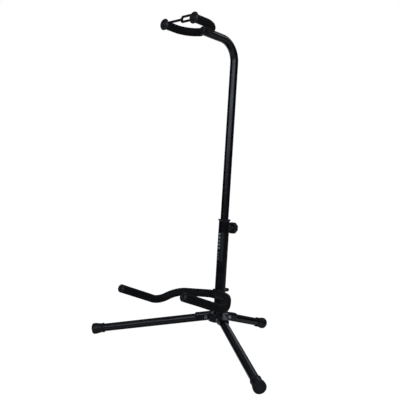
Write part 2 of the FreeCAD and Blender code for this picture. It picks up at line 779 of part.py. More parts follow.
def make_yoke_cap():
    """Flared end cap: a slim neck for the strap and a round flange with raised rings."""
    bore = rod_r + fit_gap
    start, flange, end = yoke_neck_start, yoke_flange_start, yoke_flange_end
    cap = turned([
        (start, bore), (start, foam_r - 0.4), (start + 1.2, foam_r - 0.4), (start + 1.6, yoke_neck_r),
        (flange - 0.4, yoke_neck_r), (flange, yoke_neck_r + 0.6), (flange + 0.3, 10.5),
        (flange + 1.6, yoke_flange_r - 0.6), (flange + 2.6, yoke_flange_r), (flange + 3.9, yoke_flange_r),
        (flange + 5.2, yoke_flange_r - 0.9), (end - 1.2, 10.6), (end - 1.6, 9.8), (end - 1.6, 8.8),
        (end - 0.5, 8.2), (end - 0.3, 6.6), (end - 1.3, 6.0), (end - 1.3, 4.8), (end, 4.0),
        (end, 0), (end - yoke_cap_floor, 0), (end - yoke_cap_floor, bore),
    ], UP)
    cap.translate(V(yoke_r, 0, 0))
    return cap


def strap_plate(outline):
    """A flat piece of the strap from its closed outline, in the strap's own plane."""
    face = Part.Face(Part.makePolygon([V(x, y, 0) for x, y in outline + outline[:1]]))
    return face.extrude(UP * strap_thickness)


def strap_disc(along, radius):
    """A round piece of the strap, centred on one of the caps' necks."""
    return cylinder(radius, 0, strap_thickness, at=RIGHT * along)


def make_security_strap():
    """Flat rubber strap: a ring on the left cap, a band, and a forked loop over the right cap."""
    span = 2 * yoke_r
    low = strap_rise - strap_band / 2
    high = strap_rise + strap_band / 2
    low_bar = strap_rise - strap_fork_half - strap_bar
    high_bar = strap_rise + strap_fork_half + strap_bar
    hole_r = yoke_neck_r + slide_gap
    strap = strap_plate([(strap_bar, low), (strap_fork, low), (strap_fork, high), (strap_bar, high)])
    strap = strap.fuse(strap_plate([
        (strap_fork, low), (strap_loop_start, low_bar), (strap_loop_end, low_bar), (span, -strap_ring_r),
        (span, strap_ring_r), (strap_loop_end, high_bar), (strap_loop_start, high_bar), (strap_fork, high),
    ]))
    strap = strap.fuse(strap_disc(0, strap_ring_r)).fuse(strap_disc(span, strap_ring_r))
    window_start = strap_loop_start + strap_bar / 2
    window_low = low_bar + strap_bar
    window_high = high_bar - strap_bar
    window = strap_plate([
        (window_start, window_low), (strap_loop_end, window_low), (span, -hole_r), (span, hole_r),
        (strap_loop_end, window_high), (window_start, window_high),
    ])
    strap = strap.cut(window).cut(strap_disc(0, hole_r)).cut(strap_disc(span, hole_r)).removeSplitter()
    # The strap's plane stands square to the arms; its width runs up the post.
    strap.Placement = Placement(V(-yoke_r, 0, yoke_neck_start + strap_setback), Rotation())
    return strap


def make_upper_post():
    keep("upper_tube", make_upper_tube())
    keep("mast_foot", make_mast_foot())
    keep("guide_ring", make_guide_ring())
    keep("gooseneck_plug", make_gooseneck_plug(), NECK)
    foam = make_yoke_foam()
    cap = make_yoke_cap()
    keep("yoke_rod", along_wire(yoke_rod_line(), rod_r), NECK)
    keep("yoke_foam_right", foam, NECK)
    keep("yoke_foam_left", mirrored(foam), NECK)
    keep("yoke_cap_right", cap, NECK)
    keep("yoke_cap_left", mirrored(cap), NECK)
    keep("security_strap", make_security_strap(), NECK)


# ---------------------------------------------------------------- build and write
keep("hub_core", make_hub_core())
keep("hub_screw", make_hub_screw())
keep("post_foot_plug", make_post_foot_plug())
keep("lower_tube", make_lower_tube())
keep("collar_bushing", make_collar_bushing())
keep("tube_label", make_tube_label())
keep("clamp_nut", make_clamp_nut())
keep("clamp_pad", make_clamp_pad())
keep("clamp_screw", make_clamp_screw())
keep("clamp_knob", make_clamp_knob())
make_legs()
make_cradle()
make_upper_post()

os.makedirs("parts", exist_ok=True)
for node, piece in pieces.items():
    if not piece.isValid() or piece.Volume <= 0:
        raise ValueError(node + " is not a valid solid")
    piece.exportStep("parts/" + node + ".step")

whole = Part.makeCompound(list(pieces.values())).BoundBox
print("pieces", len(pieces))
print("x", round(whole.XMin, 2), round(whole.XMax, 2))
print("y", round(whole.YMin, 2), round(whole.YMax, 2))
print("z", round(whole.ZMin, 2), round(whole.ZMax, 2))
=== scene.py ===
"""Looks of the folding guitar stand: finishes for the CAD pieces, detailed foam, strap, nut, screw and knob.

Lengths that come from the stand's design are in millimetres and are turned into metres where a point is
placed. Points are worked out from the stand's own joints. The post frame has its origin at the hub, with
"along" up the leaning post and "forward" towards the guitar; the neck frame has "out" along the
gooseneck's straight end.
"""

import json
import math
import random

import bpy
from mathutils import Euler, Matrix, Vector, noise


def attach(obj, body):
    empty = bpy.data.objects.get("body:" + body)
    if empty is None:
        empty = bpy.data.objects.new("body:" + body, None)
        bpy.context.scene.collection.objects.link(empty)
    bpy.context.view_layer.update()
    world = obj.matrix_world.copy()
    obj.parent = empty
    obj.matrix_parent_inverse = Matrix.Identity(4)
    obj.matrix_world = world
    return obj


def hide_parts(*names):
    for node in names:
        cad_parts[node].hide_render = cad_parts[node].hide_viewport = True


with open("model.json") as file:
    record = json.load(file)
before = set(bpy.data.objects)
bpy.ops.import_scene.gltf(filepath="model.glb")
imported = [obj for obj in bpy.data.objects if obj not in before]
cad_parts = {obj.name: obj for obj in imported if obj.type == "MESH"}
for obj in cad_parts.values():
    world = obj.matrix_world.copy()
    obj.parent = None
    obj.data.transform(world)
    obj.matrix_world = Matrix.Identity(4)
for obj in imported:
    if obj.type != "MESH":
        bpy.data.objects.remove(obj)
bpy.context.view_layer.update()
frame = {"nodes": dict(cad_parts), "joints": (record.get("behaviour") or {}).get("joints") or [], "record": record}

MM = 0.001
RIGHT = Vector((1, 0, 0))
joints = {joint["name"]: joint for joint in frame["joints"]}
node_slots = {row["node"]: row["material_slot"] for row in frame["record"]["subparts"]}

# ---------------------------------------------------------------- sizes from the design, in millimetres
mast_foot_height = 125.0       # the neck turns about a point this far up the post
rod_r = 4.05
cradle_foam_r = 9.7
cradle_rod_forward = 24.5
cradle_rod_height = 58.6
cradle_start = (9.9, cradle_rod_forward, cradle_rod_height)
cradle_corner = (16.0, cradle_rod_forward, cradle_rod_height)
cradle_crest = (82.5, 63.0, 60.8)
cradle_valley = (108.5, 101.0, 39.3)
cradle_tip = (101.3, 221.0, 77.9)
cradle_bends = (12.0, 75.0, 38.0)
cradle_cap_length = 4.5
cap_gap = 0.05                 # between a sleeve and the cap at its end
cradle_roll_deg = 4.15
cradle_bolt_height = 64.9
cradle_bolt_bore = 2.55
yoke_foam_r = 9.5
yoke_r = 46.6
yoke_cross = 57.8              # the rod crosses the gooseneck here
yoke_neck_start = 130.2        # the foam ends here
yoke_side = 10.1               # the foam starts this far from the gooseneck's middle
strap_pivot_out = yoke_neck_start + 3.5
lower_tube_r = 12.7
clamp_height = 215.0
clamp_nut_r = 7.0
clamp_screw_start = 10.63      # distances behind the post axis
clamp_screw_end = 34.4
clamp_screw_r = 3.0
knob_face = 25.4
knob_length = 12.0
knob_r = 14.3
knob_lobes = 8

# ---------------------------------------------------------------- frames on the stand
post_up = Vector(joints["height_slide"]["axis"])
post_forward = RIGHT.cross(post_up)
post_foot = Vector(joints["neck_turn"]["pos_m"]) - post_up * mast_foot_height * MM
neck_out = -Vector(joints["strap_swing"]["axis"])
neck_up = neck_out.cross(RIGHT)
neck_base = Vector(joints["strap_swing"]["pos_m"]) + (RIGHT * yoke_r - neck_out * strap_pivot_out) * MM


def on_post(sideways, forward, along):
    """World point of a point given in the post frame."""
    return post_foot + (RIGHT * sideways + post_forward * forward + post_up * along) * MM


def on_neck(sideways, out, up=0.0):
    """World point of a point given in the neck frame."""
    return neck_base + (RIGHT * sideways + neck_out * out + neck_up * up) * MM


def on_cradle(sideways, forward, along):
    """As on_post, for the cradle, whose rod is rolled a little about its bolt."""
    roll = math.radians(cradle_roll_deg)
    above = along - cradle_bolt_height
    return on_post(sideways * math.cos(roll) - above * math.sin(roll), forward,
                   cradle_bolt_height + sideways * math.sin(roll) + above * math.cos(roll))


# ---------------------------------------------------------------- camera, lights, stage
camera_aim = Vector((-0.0311, -0.0096, 0.3428))
camera_azimuth = 45.0
camera_elevation = 4.39
camera_distance = 1.3916
camera_lens = 53.07
camera_sensor = 36.0
floor_size = 8.0
light_tint = (0.80, 0.87, 1.0)
room_tint = (0.85, 0.91, 1.0)
# Light of the room by direction: (-1 straight down to 1 straight up, brightness).
room_light = [(-1.0, 0.05), (-0.85, 0.14), (-0.55, 0.44), (-0.30, 0.36), (-0.17, 0.10), (-0.10, 0.01),
              (0.15, 0.01), (0.30, 0.06), (0.45, 0.16), (0.70, 0.17), (1.0, 0.05)]


def direction(azimuth, elevation):
    """Unit vector from the stand towards azimuth 0 = -Y, 90 = +X, in degrees."""
    a, e = math.radians(azimuth), math.radians(elevation)
    return Vector((math.sin(a) * math.cos(e), -math.cos(a) * math.cos(e), math.sin(e)))


def aimed(data, name, azimuth, elevation, distance):
    """An object for a camera or a light that looks at the aim point from a distance."""
    item = bpy.data.objects.new(name, data)
    bpy.context.scene.collection.objects.link(item)
    back = direction(azimuth, elevation)
    item.location = camera_aim + back * distance
    item.rotation_euler = (-back).to_track_quat("-Z", "Y").to_euler()
    return item


def make_camera():
    data = bpy.data.cameras.new("camera")
    data.lens = camera_lens
    data.sensor_width = camera_sensor
    bpy.context.scene.camera = aimed(data, "camera", camera_azimuth, camera_elevation, camera_distance)


def softbox(name, azimuth, elevation, distance, size, radiance):
    """A rectangular soft light of a given brightness."""
    data = bpy.data.lights.new(name, "AREA")
    data.shape = "RECTANGLE"
    data.size, data.size_y = size
    data.energy = radiance * math.pi * size[0] * size[1]
    data.color = light_tint
    aimed(data, name, azimuth, elevation, distance).visible_camera = False


def make_world():
    """White where the camera looks past the floor, and a dim studio for the light on the stand."""
    world = bpy.data.worlds.new("studio")
    bpy.context.scene.world = world
    world.use_nodes = True
    tree = world.node_tree
    tree.nodes.clear()
    seen = tree.nodes.new("ShaderNodeBackground")
    seen.inputs["Color"].default_value = (1.0, 1.0, 1.0, 1.0)
    room = tree.nodes.new("ShaderNodeBackground")
    place = tree.nodes.new("ShaderNodeTexCoord")
    height = tree.nodes.new("ShaderNodeSeparateXYZ")
    ramp = tree.nodes.new("ShaderNodeValToRGB")
    half = tree.nodes.new("ShaderNodeMath")
    half.operation = "MULTIPLY_ADD"
    half.inputs[1].default_value = 0.5
    half.inputs[2].default_value = 0.5
    ramp.color_ramp.elements.remove(ramp.color_ramp.elements[1])
    for i, (level, light) in enumerate(room_light):
        element = ramp.color_ramp.elements[0] if i == 0 else ramp.color_ramp.elements.new((level + 1) / 2)
        element.position = (level + 1) / 2
        element.color = (*(tint * light for tint in room_tint), 1.0)
    tree.links.new(place.outputs["Generated"], height.inputs["Vector"])
    tree.links.new(height.outputs["Z"], half.inputs[0])
    tree.links.new(half.outputs["Value"], ramp.inputs["Fac"])
    tree.links.new(ramp.outputs["Color"], room.inputs["Color"])
    path = tree.nodes.new("ShaderNodeLightPath")
    mix = tree.nodes.new("ShaderNodeMixShader")
    output = tree.nodes.new("ShaderNodeOutputWorld")
    tree.links.new(path.outputs["Is Camera Ray"], mix.inputs["Fac"])
    tree.links.new(room.outputs["Background"], mix.inputs[1])
    tree.links.new(seen.outputs["Background"], mix.inputs[2])
    tree.links.new(mix.outputs["Shader"], output.inputs["Surface"])


def make_floor():
    """Plain white floor that glows, and that the stand's own surfaces neither reflect nor are lit by."""
    half = floor_size / 2
    corners = [(-half, -half, 0), (half, -half, 0), (half, half, 0), (-half, half, 0)]
    mesh = bpy.data.meshes.new("studio_floor")
    mesh.from_pydata(corners, [], [(0, 1, 2, 3)])
    floor = bpy.data.objects.new("studio_floor", mesh)
    bpy.context.scene.collection.objects.link(floor)
    material = bpy.data.materials.new("studio_floor")
    material.use_nodes = True
    shader = material.node_tree.nodes["Principled BSDF"]
    shader.inputs["Base Color"].default_value = (0.12, 0.12, 0.12, 1.0)
    shader.inputs["Roughness"].default_value = 1.0
    shader.inputs["Specular IOR Level"].default_value = 0.0
    shader.inputs["Emission Color"].default_value = (1.0, 1.0, 1.0, 1.0)
    shader.inputs["Emission Strength"].default_value = 1.0
    mesh.materials.append(material)
    floor.visible_glossy = False
    floor.visible_diffuse = False
    floor.visible_shadow = False


# ---------------------------------------------------------------- finishes
class Finish:
    """A node material: one Principled surface, and helpers that feed its sockets."""

    def __init__(self, name, **sockets):
        self.material = bpy.data.materials.new(name)
        self.material.use_nodes = True
        self.tree = self.material.node_tree
        self.tree.nodes.clear()
        self.surface = self.add("ShaderNodeBsdfPrincipled")
        for socket, value in sockets.items():
            self.surface.inputs[socket.replace("_", " ")].default_value = value
        output = self.add("ShaderNodeOutputMaterial")
        self.tree.links.new(self.surface.outputs["BSDF"], output.inputs["Surface"])
        self.place = self.add("ShaderNodeTexCoord").outputs["Object"]

    def add(self, kind, feeds=(), **settings):
        """A node of a kind, with its settings, and its inputs fed by (socket, value or output) pairs."""
        node = self.tree.nodes.new(kind)
        for key, value in settings.items():
            setattr(node, key, value)
        for socket, value in feeds:
            if isinstance(value, bpy.types.NodeSocket):
                self.tree.links.new(value, node.inputs[socket])
            else:
                node.inputs[socket].default_value = value
        return node

    def noise(self, scale, detail=2.0, stretch=(1.0, 1.0, 1.0)):
        """Cloudy pattern with features of about 1 / scale metres."""
        place = self.place
        if stretch != (1.0, 1.0, 1.0):
            place = self.add("ShaderNodeMapping", [("Vector", place), ("Scale", stretch)]).outputs["Vector"]
        feeds = [("Vector", place), ("Scale", scale), ("Detail", detail)]
        return self.add("ShaderNodeTexNoise", feeds).outputs["Fac"]

    def cells(self, scale):
        """Distance to the middle of the nearest cell."""
        feeds = [("Vector", self.place), ("Scale", scale)]
        return self.add("ShaderNodeTexVoronoi", feeds).outputs["Distance"]

    def spread(self, value, from_low, from_high, to_low=0.0, to_high=1.0):
        """Maps a range to another one, clamped."""
        feeds = [("Value", value), ("From Min", from_low), ("From Max", from_high),
                 ("To Min", to_low), ("To Max", to_high)]
        return self.add("ShaderNodeMapRange", feeds).outputs["Result"]

    def math(self, operation, a, b=0.0):
        return self.add("ShaderNodeMath", [(0, a), (1, b)], operation=operation).outputs["Value"]

    def mix(self, factor, a, b):
        """Blends two colours, each three numbers or an output."""
        pair = [(value if isinstance(value, bpy.types.NodeSocket) else (*value, 1.0)) for value in (a, b)]
        feeds = [(0, factor), (6, pair[0]), (7, pair[1])]
        return self.add("ShaderNodeMix", feeds, data_type="RGBA").outputs[2]

    def colour(self, value):
        self.tree.links.new(value, self.surface.inputs["Base Color"])

    def roughness(self, value):
        self.tree.links.new(value, self.surface.inputs["Roughness"])

    def relief(self, *layers):
        """Bumps, one over the other, each a (height, strength, depth in metres)."""
        normal = None
        for height, strength, depth in layers:
            feeds = [("Height", height), ("Strength", strength), ("Distance", depth)]
            if normal is not None:
                feeds.append(("Normal", normal))
            normal = self.add("ShaderNodeBump", feeds).outputs["Normal"]
        self.tree.links.new(normal, self.surface.inputs["Normal"])


def black_paint():
    """Satin-gloss black paint on steel: orange peel, slow changes of gloss, and fine dust nibs."""
    finish = Finish("black_paint", Specular_IOR_Level=0.5)
    cloud = finish.noise(24, 3.0)
    base = finish.mix(finish.spread(cloud, 0.35, 0.65), (0.0030, 0.0034, 0.0044), (0.0050, 0.0056, 0.0072))
    nibs = finish.spread(finish.noise(2600, 1.0), 0.72, 0.80)
    finish.colour(finish.mix(nibs, base, (0.014, 0.015, 0.018)))
    finish.roughness(finish.spread(finish.noise(60, 3.0), 0.30, 0.70, 0.20, 0.29))
    finish.relief((finish.noise(420, 1.0), 0.03, 0.0003), (nibs, 0.05, 0.00003))
    return finish.material


def foam():
    """Matt closed-cell foam: small cells, soft lumps, and a faint grey bloom."""
    finish = Finish("foam", Specular_IOR_Level=0.16, Sheen_Weight=0.02, Sheen_Roughness=0.5)
    cells = finish.cells(1500)
    lumps = finish.noise(240, 3.0)
    bloom = finish.spread(finish.noise(45, 3.0), 0.35, 0.70)
    skin = finish.mix(bloom, (0.0058, 0.0063, 0.0072), (0.0110, 0.0119, 0.0130))
    finish.colour(finish.mix(finish.spread(cells, 0.45, 0.75, 0.0, 0.6), skin, (0.0022, 0.0024, 0.0028)))
    finish.roughness(finish.spread(lumps, 0.3, 0.7, 0.62, 0.80))
    finish.relief((lumps, 0.30, 0.0004), (cells, 0.55, 0.00018))
    return finish.material


def moulded(name, dark, light, rough, grain):
    """Black moulded plastic with a spark-eroded grain and slow flow marks."""
    finish = Finish(name, Specular_IOR_Level=0.5)
    flow = finish.noise(90, 2.5)
    finish.colour(finish.mix(finish.spread(flow, 0.35, 0.65), dark, light))
    finish.roughness(finish.spread(finish.noise(420, 2.0), 0.30, 0.70, rough - 0.06, rough + 0.06))
    finish.relief((finish.noise(2100, 2.0), grain, 0.00012), (flow, 0.12, 0.0004))
    return finish.material


def rubber(name, dark, light, rough):
    """Soft black rubber: dull, a little dusty, with a fine skin."""
    finish = Finish(name, Specular_IOR_Level=0.4)
    dust = finish.spread(finish.noise(70, 4.0), 0.42, 0.72)
    finish.colour(finish.mix(dust, dark, light))
    finish.roughness(finish.spread(finish.noise(260, 2.0), 0.30, 0.70, rough - 0.08, rough + 0.08))
    finish.relief((finish.noise(1300, 2.0), 0.25, 0.00015), (finish.noise(180, 2.0), 0.15, 0.0004))
    return finish.material


def bright_steel():
    """Zinc-plated steel: fine rubbed scratches and slightly clouded plating."""
    finish = Finish("bright_steel", Metallic=1.0)
    cloud = finish.noise(500, 3.0)
    scratches = finish.noise(900, 2.0, (1.0, 1.0, 14.0))
    finish.colour(finish.mix(finish.spread(cloud, 0.3, 0.7), (0.42, 0.425, 0.44), (0.60, 0.60, 0.60)))
    finish.roughness(finish.spread(scratches, 0.3, 0.7, 0.20, 0.36))
    finish.relief((scratches, 0.20, 0.00008))
    return finish.material


def black_steel():
    """Black-plated fastener: darker and glossier than paint, with rubbed grey patches."""
    finish = Finish("black_steel", Specular_IOR_Level=0.6)
    rubbed = finish.spread(finish.noise(380, 4.0), 0.58, 0.74)
    finish.colour(finish.mix(rubbed, (0.010, 0.010, 0.012), (0.055, 0.055, 0.058)))
    finish.roughness(finish.spread(finish.noise(900, 2.0), 0.3, 0.7, 0.24, 0.38))
    finish.relief((finish.noise(1600, 2.0), 0.15, 0.0001))
    return finish.material


def label():
    """Film label, dark blue-grey, with two groups of plain pale stripes and no lettering."""
    finish = Finish("label", Specular_IOR_Level=0.5)
    lean = math.atan2(post_up.y, post_up.z)
    upright = Euler((lean, 0.0, 0.0)).to_matrix()
    feeds = [("Vector", finish.place), ("Location", -(upright @ post_foot)), ("Rotation", (lean, 0.0, 0.0))]
    on_axis = finish.add("ShaderNodeMapping", feeds).outputs["Vector"]
    x, y, z = finish.add("ShaderNodeSeparateXYZ", [("Vector", on_axis)]).outputs
    turn = finish.math("ARCTAN2", x, finish.math("MULTIPLY", y, -1.0))

    def between(value, low, high):
        above = finish.math("GREATER_THAN", value, low)
        return finish.math("MULTIPLY", above, finish.math("LESS_THAN", value, high))

    def stripes(low, high, count, share, from_deg, to_deg):
        """Equal stripes across the label from low to high along the post, in millimetres."""
        pitch = (high - low) / (count - 1 + share) * MM
        step = finish.math("DIVIDE", finish.math("SUBTRACT", z, low * MM), pitch)
        bar = finish.math("LESS_THAN", finish.math("FRACT", step), share)
        band = between(z, low * MM, high * MM)
        sector = between(turn, math.radians(from_deg), math.radians(to_deg))
        return finish.math("MULTIPLY", finish.math("MULTIPLY", bar, band), sector)

    large = stripes(165.0, 202.5, 5, 0.55, -34.0, 10.0)
    small = stripes(140.0, 157.0, 3, 0.50, -36.0, -2.0)
    printed = finish.math("MAXIMUM", large, small)
    worn = finish.spread(finish.noise(1500, 3.0), 0.30, 0.55, 0.55, 1.0)
    film = finish.mix(finish.spread(finish.noise(55, 2.0), 0.3, 0.7), (0.0085, 0.0095, 0.0145),
                      (0.0125, 0.0140, 0.0200))
    finish.colour(finish.mix(finish.math("MULTIPLY", printed, worn), film, (0.36, 0.37, 0.40)))
    finish.roughness(finish.spread(finish.noise(350, 2.0), 0.3, 0.7, 0.30, 0.42))
    finish.relief((finish.noise(420, 1.5), 0.10, 0.0003), (printed, 0.20, 0.00004))
    return finish.material


# Painted shade: the gooseneck plug sits out of the light in the yoke's inner corner, so it takes the darker hub
# plastic's finish instead of its own slot's.
painted_shade_pieces = {"gooseneck_plug": "hub_plastic"}      # pieces that take another slot's finish


def dress_cad_nodes():
    """Gives every CAD piece the finish of its material slot, except the gooseneck plug, which takes the darker hub
    plastic as painted shade.
    """
    finishes = {
        "black_paint": black_paint(),
        "foam": foam(),
        "black_plastic": moulded("black_plastic", (0.0085, 0.0092, 0.0120), (0.0140, 0.0150, 0.0190),
                                 0.36, 0.18),
        "hub_plastic": moulded("hub_plastic", (0.0050, 0.0055, 0.0068), (0.0085, 0.0092, 0.0110),
                               0.34, 0.15),
        "rubber": rubber("rubber", (0.0055, 0.0060, 0.0072), (0.0105, 0.0115, 0.0135), 0.48),
        "strap_rubber": rubber("strap_rubber", (0.0045, 0.0047, 0.0055), (0.0080, 0.0084, 0.0095), 0.46),
        "bright_steel": bright_steel(),
        "black_steel": black_steel(),
        "label": label(),
    }
    # the pieces in the painted-shade table take a darker finish as painted shade
    for name, node in frame["nodes"].items():
        for slot in node.material_slots:
            slot.material = finishes[painted_shade_pieces.get(name, node_slots[name])]
    return finishes


# ---------------------------------------------------------------- mesh helpers
def new_piece(name, points, faces, body, slot, finishes):
    """A smooth mesh object in the world frame that rides on a body and takes a slot's finish."""
    mesh = bpy.data.meshes.new(name)
    mesh.from_pydata(points, [], faces)
    mesh.polygons.foreach_set("use_smooth", [True] * len(mesh.polygons))
    mesh.materials.append(finishes[slot])
    mesh.update()
    piece = bpy.data.objects.new(name, mesh)
    bpy.context.scene.collection.objects.link(piece)
    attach(piece, body)
    return piece


def lattice_faces(rows, columns, closed_rows=False):
    """Quads between rows of a closed ring of columns; the rows can close on themselves too."""
    faces = []
    for i in range(rows if closed_rows else rows - 1):
        for k in range(columns):
            a, b = i * columns, ((i + 1) % rows) * columns
            k_next = (k + 1) % columns
            faces.append((a + k, a + k_next, b + k_next, b + k))
    return faces


def rounded_route(corners, radii, step):
    """Stations along straight runs joined by tangent arcs: (point, direction, bend towards its centre)."""
    stations = []

    def run(start, end):
        length = (end - start).length
        heading = (end - start).normalized()
        count = max(1, round(length / step))
        stations.extend((start.lerp(end, i / count), heading, Vector()) for i in range(count))

    start = corners[0]
    for before, corner, after, radius in zip(corners, corners[1:], corners[2:], radii):
        into = (corner - before).normalized()
        away = (after - corner).normalized()
        half = into.angle(away) / 2
        inward = (away - into).normalized()
        centre = corner + inward * radius / math.cos(half)
        first = corner - into * radius * math.tan(half)
        if (first - start).length > step / 10:
            run(start, first)
        axis = into.cross(away).normalized()
        count = max(2, round(2 * half * radius / step))
        for i in range(count):
            turn = Matrix.Rotation(2 * half * i / count, 3, axis)
            arm = turn @ (first - centre)
            stations.append((centre + arm, turn @ into, -arm.normalized() / radius))
        start = corner + away * radius * math.tan(half)
    run(start, corners[-1])
    heading = (corners[-1] - corners[-2]).normalized()
    stations.append((corners[-1], heading, Vector()))
    return stations


# ---------------------------------------------------------------- foam sleeves
foam_step = 1.7 * MM
foam_around = 60
foam_roll = 1.0 * MM           # rounding of a sleeve's cut ends
foam_fade = 14 * MM            # the shape of a sleeve's first cut end fades over this length
fold_depth = 0.30              # folds gathered inside a bend, in millimetres
fold_pitch = 4.6
lump_depth = 0.22
end_dip = 0.25                 # unevenness of a cut end
end_shares = (0.3, 0.62, 0.9)  # rings of a cut end, from the outer skin to the bore
bore_row_step = 3              # the bore has a ring for every third station
saddle_seat_top = 60.2         # the sleeves lap over the saddle's seat, above this and in front of it
saddle_seat_front = 29.0
saddle_lap = 9.4
saddle_ease = 1.5
foam_ridges = [(5, 0.12), (9, 0.11), (14, 0.08), (21, 0.04)]      # lengthwise streaks: count, depth in mm


def foam_sleeve(name, stations, outer, start_shift, body, node, finishes, seed):
    """A foam tube on a bent rod: streaked lengthwise, gathered inside its bends, with soft cut ends.

    start_shift gives how far a point of the first cut end moves along the rod.
    """
    draw = random.Random(seed)
    phases = [draw.uniform(0, 2 * math.pi) for _ in foam_ridges]
    waves = [draw.uniform(10, 30) for _ in foam_ridges]
    distances = [0.0]
    for (a, _, _), (b, _, _) in zip(stations, stations[1:]):
        distances.append(distances[-1] + (b - a).length)
    total = distances[-1]
    side = stations[0][1].orthogonal().normalized()
    outer_points, bore_points, frames = [], [], []
    for (centre, heading, bend), along in zip(stations, distances):
        side = (side - heading * side.dot(heading)).normalized()
        other = heading.cross(side)
        frames.append((centre, heading, side, other))
        end_gap = min(along, total - along)
        inset = 0.0
        if end_gap < foam_roll:
            inset = foam_roll - math.sqrt(foam_roll ** 2 - (foam_roll - end_gap) ** 2)
        for k in range(foam_around):
            angle = 2 * math.pi * k / foam_around
            spoke = side * math.cos(angle) + other * math.sin(angle)
            radius = outer - inset
            for (count, depth), phase, wave in zip(foam_ridges, phases, waves):
                radius += depth * MM * (math.sin(count * angle + phase + math.sin(along * wave)) - 1) / 2
            inner_side = max(0.0, spoke.dot(bend.normalized())) if bend.length else 0.0
            fold = inner_side ** 2 * min(1.0, bend.length * outer * 2.2)
            swing = 2 * math.pi * along / (fold_pitch * MM) + 1.3 * math.sin(3 * angle)
            radius -= fold * fold_depth * MM * (1 + math.sin(swing))
            radius += lump_depth * MM * (noise.noise(centre * 40 + spoke * 0.6) - 0.35)
            outer_points.append(centre + spoke * radius)
            bore_points.append(centre + spoke * rod_r * MM)
    # The first end is cut to the shape of what it meets, and that shape fades along the sleeve.
    for points in (outer_points, bore_points):
        shifts = [start_shift(points[k]) for k in range(foam_around)]
        for i, along in enumerate(distances):
            if along < foam_fade:
                fade = (1 - along / foam_fade) ** 2 * (1 + 2 * along / foam_fade)
                for k in range(foam_around):
                    points[i * foam_around + k] += frames[i][1] * shifts[k] * fade

    def end_rings(row, inwards):
        """Rings of a cut end, in from the outer skin to the bore, with a little waviness."""
        rings = []
        for share in end_shares:
            ring = []
            for k in range(foam_around):
                a, b = outer_points[row * foam_around + k], bore_points[row * foam_around + k]
                dip = end_dip * MM * (noise.noise(a * 500 + Vector((share, 0, 0))) + 0.6 * share)
                ring.append(a.lerp(b, share) + frames[row][1] * inwards * dip)
            rings.append(ring)
        return rings

    rows = len(stations)
    points = list(outer_points)
    for ring in end_rings(rows - 1, -1):
        points += ring
    bore_rows = list(range(rows - 1, 0, -bore_row_step)) + [0]
    for row in bore_rows:
        points += bore_points[row * foam_around:(row + 1) * foam_around]
    for ring in reversed(end_rings(0, 1)):
        points += ring
    loops = len(points) // foam_around
    piece = new_piece(name, points, lattice_faces(loops, foam_around, True), body, "foam", finishes)
    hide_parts(node)


def eased(value):
    """0 below 0, 1 above 1, and a smooth step between."""
    value = min(1.0, max(0.0, value))
    return value * value * (3 - 2 * value)


def over_saddle(point):
    """How far a point of a cradle sleeve's first end moves: the part clear of the seat laps over it."""
    along = (point - post_foot).dot(post_up) / MM
    forward = (point - post_foot).dot(post_forward) / MM
    clear = max(eased((along - saddle_seat_top) / saddle_ease),
                eased((forward - saddle_seat_front) / saddle_ease))
    return -saddle_lap * MM * clear


def make_cradle_foam(finishes):
    """Each sleeve starts beside the post, rises over a crest, dips to a valley and runs up to its tip."""
    tip, valley = Vector(cradle_tip), Vector(cradle_valley)
    stop = tip - (tip - valley).normalized() * (cradle_cap_length + cap_gap)
    for name, mirror, seed in (("left", -1, 11), ("right", 1, 12)):
        corners = [on_cradle(mirror * x, forward, along) for x, forward, along in
                   (cradle_start, cradle_corner, cradle_crest, cradle_valley, stop)]
        stations = rounded_route(corners, [radius * MM for radius in cradle_bends], foam_step)
        foam_sleeve("cradle_sleeve_" + name, stations, cradle_foam_r * MM, over_saddle, "base",
                    "cradle_foam_" + name, finishes, seed)


def make_yoke_foam(finishes):
    """Each sleeve follows a quarter circle from beside the gooseneck and then a straight arm."""
    for name, mirror, seed in (("left", -1, 13), ("right", 1, 14)):
        corners = [on_neck(0, yoke_cross), on_neck(mirror * yoke_r, yoke_cross),
                   on_neck(mirror * yoke_r, yoke_neck_start - cap_gap)]
        stations = rounded_route(corners, [yoke_r * MM], foam_step)
        stations = [s for s in stations if s[0].x * mirror > yoke_side * MM * 0.85]
        start, heading = mirror * yoke_side * MM, stations[0][1]

        def to_side(point):
            return (start - point.x) / heading.x

        foam_sleeve("yoke_sleeve_" + name, stations, yoke_foam_r * MM, to_side, "neck",
                    "yoke_foam_" + name, finishes, seed)


# ---------------------------------------------------------------- security strap
strap_thickness = 2.6
strap_edge = 0.5               # rounding of the strap's edges
strap_ring_r = 8.4
strap_band_half = 2.6
strap_rise = 4.3
strap_fork = 46.0
strap_loop_start = 51.0
strap_loop_end = 76.0
strap_bar = 4.9
strap_fork_half = 3.0
strap_hole_r = 5.5
strap_setback = 2.2            # behind the foam's end, along the arms
ring_reach_deg = 104           # the loop's outer edge and its window go this far round the right cap
hole_reach_deg = 112
hole_end_deg = 106
strap_corner_r = 3.0
window_corner_r = 1.6


slight_turn = math.radians(16)
sharp_turn = 2.6               # in radians; a sharper corner is rounded over the radius alone


def arc_points(centre, radius, from_deg, to_deg, count):
    """Points of an arc in the strap's plane round a centre on the line between the caps."""
    angles = [math.radians(from_deg + (to_deg - from_deg) * i / count) for i in range(count + 1)]
    return [Vector((centre + radius * math.cos(a), radius * math.sin(a), 0)) for a in angles]


